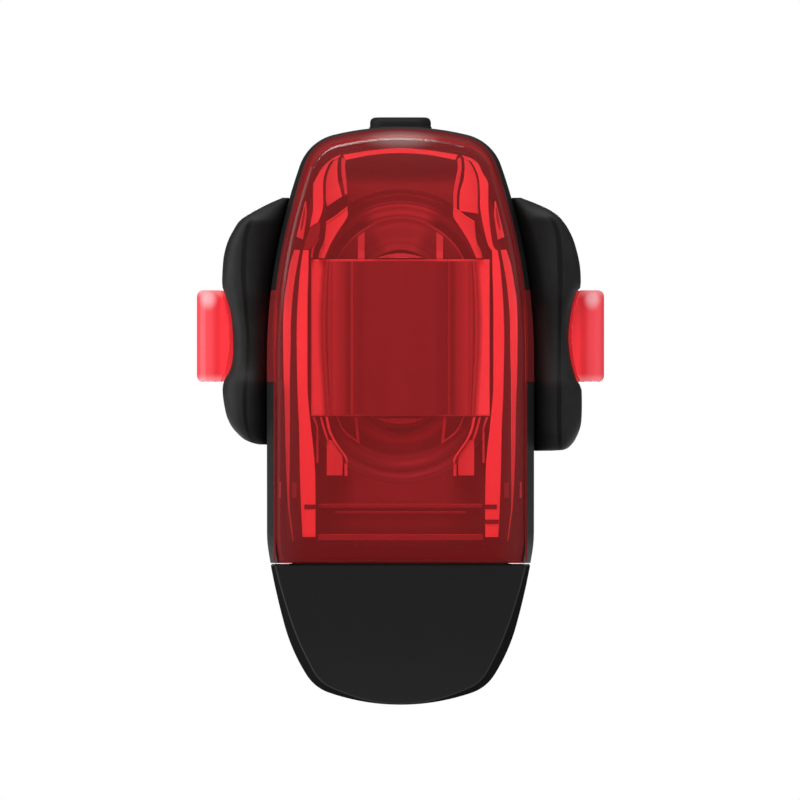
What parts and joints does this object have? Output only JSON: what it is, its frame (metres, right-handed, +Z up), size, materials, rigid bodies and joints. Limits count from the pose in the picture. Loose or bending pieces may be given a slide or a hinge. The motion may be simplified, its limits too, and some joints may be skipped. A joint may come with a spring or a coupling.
{
  "type": "bicycle tail light",
  "caption": "Seat-post bicycle tail light: tall black body, translucent red lens with side hooks, top push button, pull-off end cap over a plug, and a hooked rubber strap.",
  "frame": {"origin": "on the seat post's axis, at the mid height of the two strap hooks", "axes": "+Z up along the seat post, -Y towards the lens's front, +X to the right seen from the front"},
  "size_m": [0.052, 0.0587, 0.075],
  "materials": {
    "lens_red": "translucent red polycarbonate, moulded and polished",
    "housing_black": "black ABS, finely spark eroded",
    "cap_black": "black ABS, matt",
    "strap_rubber": "black silicone rubber",
    "pad_rubber": "black rubber",
    "button_rubber": "dark grey silicone",
    "bezel_plastic": "black ABS, satin",
    "seal_rubber": "black seal rubber",
    "clear_acrylic": "clear acrylic, polished",
    "reflector_white": "satin grey polycarbonate",
    "board_resin": "black solder mask",
    "led_ceramic": "white ceramic with a phosphor dome",
    "chip_epoxy": "black epoxy",
    "switch_steel": "plated steel frame",
    "screw_steel": "zinc plated",
    "plug_nickel": "nickel plated steel",
    "contact_gold": "gold plated",
    "tongue_plastic": "white plastic",
    "cell_foil": "silver foil pouch",
    "foam_tape": "white foam tape",
    "tab_nickel": "nickel strip"
  },
  "bodies": {
    "light": {"rear_housing": "housing_black", "outer_lens": "lens_red", "lens_gasket": "seal_rubber", "light_guide": "clear_acrylic", "wide_angle_optic": "clear_acrylic", "reflector": "reflector_white", "circuit_board": "board_resin", "led_emitters": "led_ceramic", "driver_components": "chip_epoxy", "tact_switch": "switch_steel", "board_screws": "screw_steel", "battery_cell": "cell_foil", "battery_tape": "foam_tape", "battery_tabs": "tab_nickel", "usb_plug_shell": "plug_nickel", "usb_plug_tongue": "tongue_plastic", "usb_contacts": "contact_gold", "plug_seal": "seal_rubber", "neck_ring": "seal_rubber", "button_bezel": "bezel_plastic", "rear_pad": "pad_rubber", "strap_band": "strap_rubber"},
    "button": {"power_button": "button_rubber"},
    "cap": {"end_cap": "cap_black"},
    "strap_arm": {"strap_free_arm": "strap_rubber"}
  },
  "joints": [
    {"name": "button_press", "type": "slide", "parent": "light", "child": "button", "axis": [0, 0, -1], "range_m": [0, 0.0006], "stiffness_N_per_m": 1500},
    {"name": "cap_pull", "type": "slide", "parent": "light", "child": "cap", "axis": [0, 0, -1], "range_m": [0, 0.02]},
    {"name": "strap_release", "type": "hinge", "parent": "light", "child": "strap_arm", "pos_m": [0, 0.01545, 0.002], "axis": [0, 0, 1], "range_deg": [0, 90], "stiffness_Nm_per_rad": 0.01, "deforming": ["strap_free_arm"]}
  ]
}
